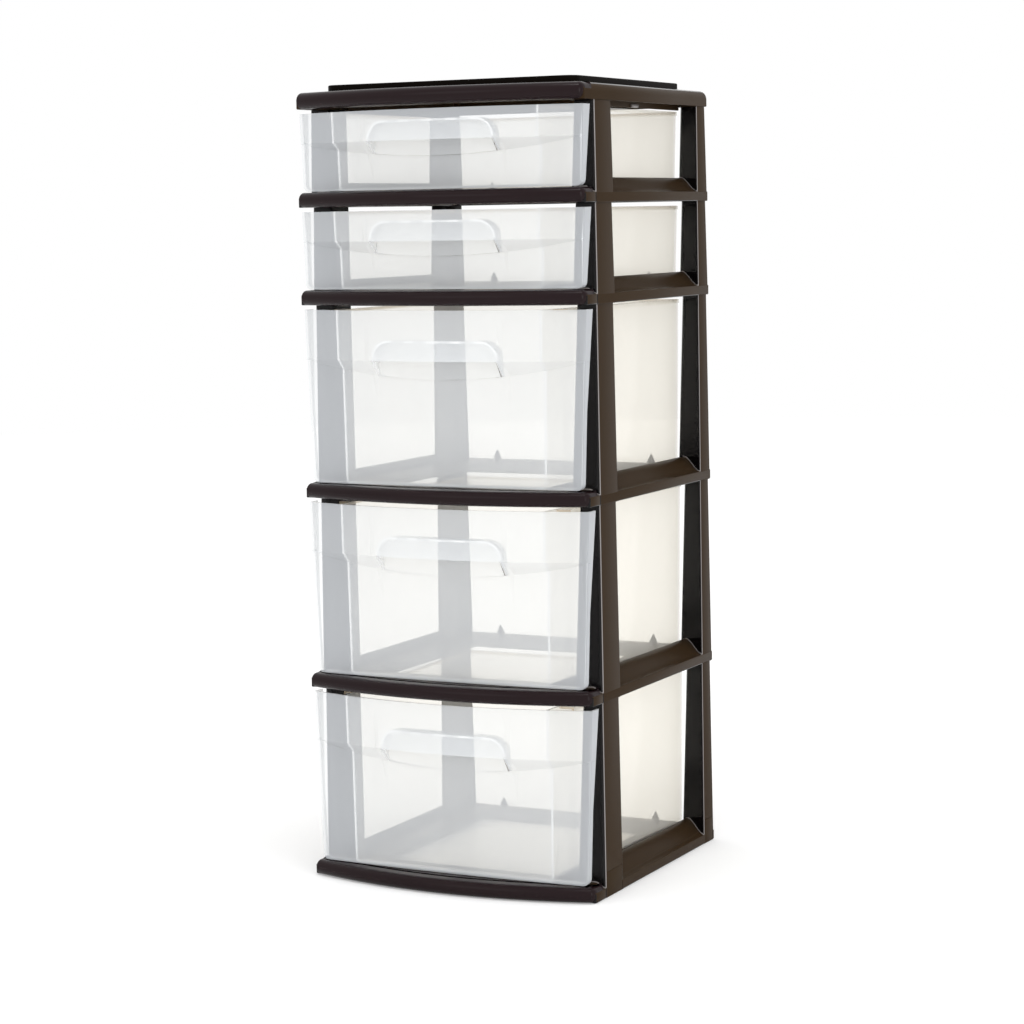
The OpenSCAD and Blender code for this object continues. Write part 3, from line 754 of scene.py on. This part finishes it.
# The same brown plastic painted near black as painted shade on the low tray wall.
tray_painted_shade = dark_plastic("espresso_deep", (0.003, 0.002, 0.001), (0.006, 0.004, 0.003),
                         0.42, 0.50, 0.03, 0.1)
for piece in top_pieces:
    if piece.name == "tray_foot":
        piece.data.materials.append(top_gloss)
    # The catch gets the light grey painted-highlight material.
    elif piece.name.startswith("catch"):
        piece.data.materials.append(frame_painted_highlight)
    elif piece.name == "top_slab":
        piece.data.materials.append(frame_satin)
        piece.data.materials.append(top_gloss)
        edit(piece, "FACE")
        pick(piece, "faces", lambda f: f.normal.z > 0.8)
        piece.active_material_index = 1
        bpy.ops.object.material_slot_assign()
        bpy.ops.object.mode_set(mode="OBJECT")
    else:
        own_painted_shade = {"top_lip": lip_gloss_painted_shade, "tray_wall": tray_painted_shade}
        piece.data.materials.append(own_painted_shade.get(piece.name, frame_satin))
cover = joined("top_cover", [copy_up(piece, piece.name + "_up", seams[-1]) for piece in top_pieces])
for piece in top_pieces:
    bpy.data.objects.remove(piece)
smooth(cover)
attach(cover, "root")
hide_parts("top_panel")

# Each drawer is one clear moulding with a faint blue haze. Its front has a bowed band above, a slope
# under the band and a flatter panel below, and an arched pocket for the fingers is let in behind the
# band. The body behind it is narrower, and hangs a flat rim with a turned-down edge over its sides.
def clear_plastic(name, haze, pass_tint, face_on, edge_on, rough):
    material = bpy.data.materials.new(name)
    material.use_nodes = True
    nodes, links = material.node_tree.nodes, material.node_tree.links
    shader = nodes["Principled BSDF"]
    skin = nodes.new("ShaderNodeGroup")
    skin.node_tree = skin_group
    skin.inputs["Cloud Size"].default_value = 14
    skin.inputs["Grain Size"].default_value = 260
    skin.inputs["Dark"].default_value = (*[0.95 * c for c in haze], 1)
    skin.inputs["Light"].default_value = (*haze, 1)
    skin.inputs["Smoothest"].default_value = rough
    skin.inputs["Roughest"].default_value = rough + 0.04
    links.new(skin.outputs["Colour"], shader.inputs["Base Color"])
    links.new(skin.outputs["Roughness"], shader.inputs["Roughness"])
    ripple = nodes.new("ShaderNodeBump")
    ripple.inputs["Strength"].default_value = 0.05
    ripple.inputs["Distance"].default_value = 0.0002
    links.new(skin.outputs["Height"], ripple.inputs["Height"])
    links.new(ripple.outputs["Normal"], shader.inputs["Normal"])
    shader.inputs["IOR"].default_value = 1.49
    clear = nodes.new("ShaderNodeBsdfTransparent")
    clear.inputs["Color"].default_value = (*pass_tint, 1)
    angle = nodes.new("ShaderNodeLayerWeight")
    angle.inputs["Blend"].default_value = 0.35
    share = nodes.new("ShaderNodeMapRange")
    share.inputs["To Min"].default_value = face_on
    share.inputs["To Max"].default_value = edge_on
    links.new(angle.outputs["Facing"], share.inputs["Value"])
    lit_through = nodes.new("ShaderNodeBsdfTranslucent")
    links.new(skin.outputs["Colour"], lit_through.inputs["Color"])
    milky = nodes.new("ShaderNodeMixShader")
    milky.inputs[0].default_value = 0.15
    links.new(shader.outputs[0], milky.inputs[1])
    links.new(lit_through.outputs[0], milky.inputs[2])
    wall = nodes.new("ShaderNodeMixShader")
    links.new(share.outputs["Result"], wall.inputs[0])
    links.new(clear.outputs[0], wall.inputs[1])
    links.new(milky.outputs[0], wall.inputs[2])
    way_out = nodes.new("ShaderNodeBsdfTransparent")
    side = nodes.new("ShaderNodeNewGeometry")
    once = nodes.new("ShaderNodeMixShader")
    links.new(side.outputs["Backfacing"], once.inputs[0])
    links.new(wall.outputs[0], once.inputs[1])
    links.new(way_out.outputs[0], once.inputs[2])
    links.new(once.outputs[0], nodes["Material Output"].inputs["Surface"])
    return material


clear_front = clear_plastic("clear_front", (0.92, 0.955, 1.0), (1.0, 0.99, 0.96), 0.50, 0.76, 0.10)
clear_body = clear_plastic("clear_body", (1.0, 0.985, 0.95), (1.0, 0.98, 0.93), 0.26, 0.46, 0.10)
clear_rim = clear_plastic("clear_rim", (0.72, 0.58, 0.42), (1.0, 0.93, 0.84), 0.45, 0.75, 0.12)
# A painted highlight: near-opaque white for the bright lines along the drawers' cut edges and creases.
clear_edge_painted_highlight = clear_plastic("clear_edge_painted_highlight", (0.99, 0.995, 1.0), (1.0, 0.99, 0.97), 0.92, 0.99, 0.12)
drawer_wall, drawer_lift = 0.0022, 0.0158
front_half, side_lean, corner_round = 0.158, 2.2, 0.006
corner_levels = [corner_round, 0.0035, 0.0018, 0.0006, 0]
band_front, band_bow = -0.158, 0.025
flat_front, flat_bow = -0.139, 0.006
band_radius = (front_half ** 2 + band_bow ** 2) / (2 * band_bow)
flat_radius = (front_half ** 2 + flat_bow ** 2) / (2 * flat_bow)
return_front, return_least, return_extra, return_taper = -0.133, 0.006, 0.008, 0.100
pocket_half, pocket_corner = 0.070, 0.018
pocket_columns, side_columns = 7, 12
body_front, body_back, body_front_half, body_back_half = -0.1338, 0.1556, 0.115, 0.130
floor_share, body_round, floor_bevel, wall_reach, floor_gap = 0.980, 0.0035, 0.004, 0.0092, 0.0003
crease_round, slope_round = 0.0013, 0.0009
rim_half, rim_front, rim_drop = 0.131, -0.119, 0.0038
rim_turn_x, rim_turn_y, rim_turn = 0.127, 0.152, 0.004
rim_inner, inner_shift, inner_turn = 0.1147, 0.0005, 0.0026


def band_y(x):
    return band_front + band_radius - math.sqrt(band_radius ** 2 - x * x)


def flat_y(x):
    return flat_front + flat_radius - math.sqrt(flat_radius ** 2 - x * x)


def slope_drop(x, slope):
    """How far below the band its slope meets the flat panel, at a distance x from the middle"""
    reach = math.hypot(band_front + band_radius - flat_y(x), x)
    return slope * (band_radius - reach) / band_bow


def side_x(height, z):
    """Half the front's width at a height z, with its lower corners rounded"""
    x = front_half - (height - z) * math.tan(math.radians(side_lean))
    if z >= corner_round:
        return x
    return x - corner_round + math.sqrt(corner_round ** 2 - (corner_round - z) ** 2)


def return_depth(height, z):
    return return_least + return_extra * max(0, 1 - (height - z) / return_taper)


def drawer_front(height, band, slope):
    low = height - band
    levels = [height, low, None] + ([height - return_taper] if height > return_taper else [])
    levels += corner_levels
    middle = pocket_columns + side_columns
    rows, columns = len(levels), 2 * middle
    bpy.ops.object.select_all(action="DESELECT")
    bpy.ops.mesh.primitive_grid_add(x_subdivisions=columns, y_subdivisions=rows - 1, size=1,
                                    location=(0, 0, 0))
    front = bpy.context.object
    edit(front, "VERT")
    mesh = bmesh.from_edit_mesh(front.data)
    for corner in mesh.verts:
        column = round((corner.co.x + 0.5) * columns)
        row = rows - 1 - round((corner.co.y + 0.5) * (rows - 1))
        edge_z = low if levels[row] is None else levels[row]
        wide = side_x(height, edge_z)
        away = abs(column - middle)
        if away <= pocket_columns:
            x = pocket_half * away / pocket_columns
        else:
            x = pocket_half + (wide - pocket_half) * (away - pocket_columns) / side_columns
        z = low - slope_drop(x, slope) if levels[row] is None else levels[row]
        y = band_y(x) if row < 2 else flat_y(x)
        corner.co = Vector((math.copysign(x, column - middle), y, z))
    bmesh.update_edit_mesh(front.data)
    bpy.ops.mesh.select_mode(type="FACE")
    pick(front, "faces", lambda f: abs(f.calc_center_median().x) < pocket_half and sum(
        v.co.z > low - 0.0001 for v in f.verts) == 2 and f.calc_center_median().z < low)
    bpy.ops.mesh.delete(type="FACE")
    bpy.ops.mesh.select_mode(type="EDGE")
    pick(front, "edges", lambda e: e.is_boundary and min(v.co.z for v in e.verts) < height - 0.0001 and (
        max(v.co.z for v in e.verts) < 0.0001 or all(
            abs(abs(v.co.x) - side_x(height, v.co.z)) < 0.0002 for v in e.verts)))
    bpy.ops.mesh.extrude_region_move(TRANSFORM_OT_translate={"value": (0, 0.001, 0)})
    mesh = bmesh.from_edit_mesh(front.data)
    for corner in mesh.verts:
        if corner.select:
            corner.co.y = return_front + return_depth(height, corner.co.z)
    bmesh.update_edit_mesh(front.data)
    bpy.ops.object.mode_set(mode="OBJECT")
    face_out(front)
    # The side creases and the edges of the slope get slot 1, the painted highlight.
    edit(front, "EDGE")
    pick(front, "edges", lambda e: len(e.link_faces) == 2 and e.calc_face_angle() > 0.8
         and all(v.co.z > 0.005 and abs(abs(v.co.x) - side_x(height, v.co.z)) < 0.0002 for v in e.verts)
         and abs(e.verts[0].co.z - e.verts[1].co.z) > 0.004)
    bpy.ops.mesh.bevel(offset=crease_round, segments=2, affect="EDGES", material=1)
    pick(front, "edges", lambda e: len(e.link_faces) == 2 and e.calc_face_angle() > 0.2
         and all(low - slope - 0.001 < v.co.z < low + 0.0001
                 and 0.075 < abs(v.co.x) < side_x(height, v.co.z) - 0.003 for v in e.verts)
         and abs(e.verts[0].co.z - e.verts[1].co.z) < abs(e.verts[0].co.x - e.verts[1].co.x))
    bpy.ops.mesh.bevel(offset=slope_round, segments=2, affect="EDGES", material=1)
    bpy.ops.object.mode_set(mode="OBJECT")
    return front


def pocket(height, band, slope):
    """The arched back and roof of the finger pocket, open in front and below"""
    low = height - band
    foot = low - slope_drop(pocket_half, slope)
    spring, roof = low + 0.002, low + 0.002 + pocket_corner
    turn_x = pocket_half - pocket_corner
    arch = [(pocket_half, foot), (pocket_half, spring)]
    for step in range(1, 8):
        angle = math.radians(90 * step / 8)
        arch.append((turn_x + pocket_corner * math.cos(angle), spring + pocket_corner * math.sin(angle)))
    arch += [(turn_x, roof), (turn_x / 2, roof), (0, roof)]
    line = arch + [(-x, z) for x, z in reversed(arch[:-1])]
    line += [(x, low - slope_drop(x, slope)) for x in (-pocket_half / 2, 0, pocket_half / 2)]
    back = sheet("pocket", [(x, flat_y(x), z) for x, z in line])
    bpy.ops.mesh.select_mode(type="EDGE")
    pick(back, "edges", lambda e: all(v.co.z > low - 0.0001 or abs(v.co.x) > pocket_half - 0.0001
                                     for v in e.verts))
    bpy.ops.mesh.extrude_region_move(TRANSFORM_OT_translate={"value": (0, -0.0001, 0)})
    mesh = bmesh.from_edit_mesh(back.data)
    for corner in mesh.verts:
        if corner.select:
            under = max(0, low - corner.co.z) / slope_drop(pocket_half, slope)
            at_band = band_y(corner.co.x) + drawer_wall - 0.0001
            corner.co.y = at_band + (flat_y(corner.co.x) - 0.0002 - at_band) * min(1, under)
    bmesh.update_edit_mesh(back.data)
    bpy.ops.object.mode_set(mode="OBJECT")
    face_out(back)
    return back


def body(height, band, slope):
    """The bin behind the front, open on top and in front"""
    low = height - band
    wall_foot = low - slope_drop(body_front_half, slope)
    bpy.ops.object.select_all(action="DESELECT")
    bpy.ops.mesh.primitive_cube_add(
        size=1, location=(0, (body_front + body_back) / 2, (height + floor_gap) / 2),
        scale=(2 * body_front_half, body_back - body_front, height - floor_gap))
    bpy.ops.object.transform_apply(location=True, rotation=True, scale=True)
    bin_piece = bpy.context.object
    edit(bin_piece, "FACE")
    pick(bin_piece, "faces", lambda f: f.normal.y > 0.9)
    bpy.ops.transform.resize(value=(body_back_half / body_front_half, 1, 1), center_override=(0, 0, 0))
    pick(bin_piece, "faces", lambda f: f.normal.z < -0.9)
    bpy.ops.transform.resize(value=(floor_share, 1, 1), center_override=(0, 0, 0))
    pick(bin_piece, "faces", lambda f: f.normal.z > 0.9 or f.normal.y < -0.9)
    bpy.ops.mesh.delete(type="ONLY_FACE")
    bpy.ops.mesh.select_mode(type="EDGE")
    pick(bin_piece, "edges", lambda e: all(v.co.y > body_back - 0.001 for v in e.verts)
         and abs(e.verts[0].co.z - e.verts[1].co.z) > 0.02)
    bpy.ops.mesh.bevel(offset=body_round, segments=4, affect="EDGES")
    pick(bin_piece, "edges", lambda e: len(e.link_faces) == 2 and all(v.co.z < 0.001 for v in e.verts))
    bpy.ops.mesh.bevel(offset=floor_bevel, segments=3, affect="EDGES")
    for level in (low, wall_foot):
        bpy.ops.mesh.select_all(action="SELECT")
        bpy.ops.mesh.bisect(plane_co=(0, 0, level), plane_no=(0, 0, 1))
    bpy.ops.mesh.select_mode(type="VERT")
    pick(bin_piece, "verts", lambda v: v.co.y < body_front + 0.0005 and v.co.z > low - 0.0002)
    bpy.ops.transform.translate(value=(0, -wall_reach, 0))
    bpy.ops.object.mode_set(mode="OBJECT")
    return bin_piece


def rim(height):
    """The flat rim round the bin, with its outer edge turned down"""
    outer, inner = [(rim_half, rim_front)], [(rim_inner, rim_front)]
    for step in range(7):
        angle = math.radians(15 * step)
        outer.append((rim_turn_x + rim_turn * math.cos(angle),
                      rim_turn_y + rim_turn * math.sin(angle)))
        inner.append((rim_turn_x - inner_shift + inner_turn * math.cos(angle),
                      rim_turn_y - inner_shift + inner_turn * math.sin(angle)))
    right = outer + [(-x, y) for x, y in reversed(outer)]
    left = [(-x, y) for x, y in inner] + [(x, y) for x, y in reversed(inner)]
    flange = sheet("rim", [(x, y, height - 0.0002) for x, y in right + left])
    bpy.ops.mesh.select_mode(type="EDGE")
    pick(flange, "edges", lambda e: all(
        abs(v.co.x) > rim_half - 0.0001 or v.co.y > rim_turn_y - 0.0001 and math.hypot(
            max(0, abs(v.co.x) - rim_turn_x), v.co.y - rim_turn_y) > rim_turn - 0.0005
        for v in e.verts))
    bpy.ops.mesh.extrude_region_move(TRANSFORM_OT_translate={"value": (0, 0, -rim_drop)})
    bpy.ops.object.mode_set(mode="OBJECT")
    face_out(flange)
    return flange


def drawer(name, height, band, slope):
    # Each wall's second material goes on its cut edges: the painted highlight on the front, pocket and
    # bin, and an amber brown on the rim's edge.
    finished = [(drawer_front(height, band, slope), clear_front, clear_edge_painted_highlight),
                (pocket(height, band, slope), clear_front, clear_edge_painted_highlight),
                (body(height, band, slope), clear_body, clear_edge_painted_highlight),
                (rim(height), clear_body, clear_rim)]
    for wall, face_finish, edge_highlight_and_rim_colour in finished:
        wall.data.materials.append(face_finish)
        wall.data.materials.append(edge_highlight_and_rim_colour)
        finish_with(wall, "SOLIDIFY", thickness=drawer_wall, offset=-1, use_even_offset=True,
                    material_offset_rim=1)
    return joined(name, [wall for wall, face_finish, edge_highlight_and_rim_colour in finished])


drawer_clear = 0.0202
tall_band, tall_slope, short_band, short_slope = 0.050, 0.025, 0.030, 0.020
tall_drawer = drawer("tall_drawer", round(tall_tier - drawer_clear, 4), tall_band, tall_slope)
short_drawer = drawer("short_drawer", round(short_tier - drawer_clear, 4), short_band, short_slope)
for tier, pitch in enumerate(tier_pitches):
    model = tall_drawer if pitch == tall_tier else short_drawer
    drawer_piece = copy_up(model, f"clear_drawer_{tier + 1}", seams[tier] + drawer_lift)
    smooth(drawer_piece, 30)
    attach(drawer_piece, f"drawer_{tier + 1}_body")
    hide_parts(f"drawer_{tier + 1}")
bpy.data.objects.remove(tall_drawer)
bpy.data.objects.remove(short_drawer)
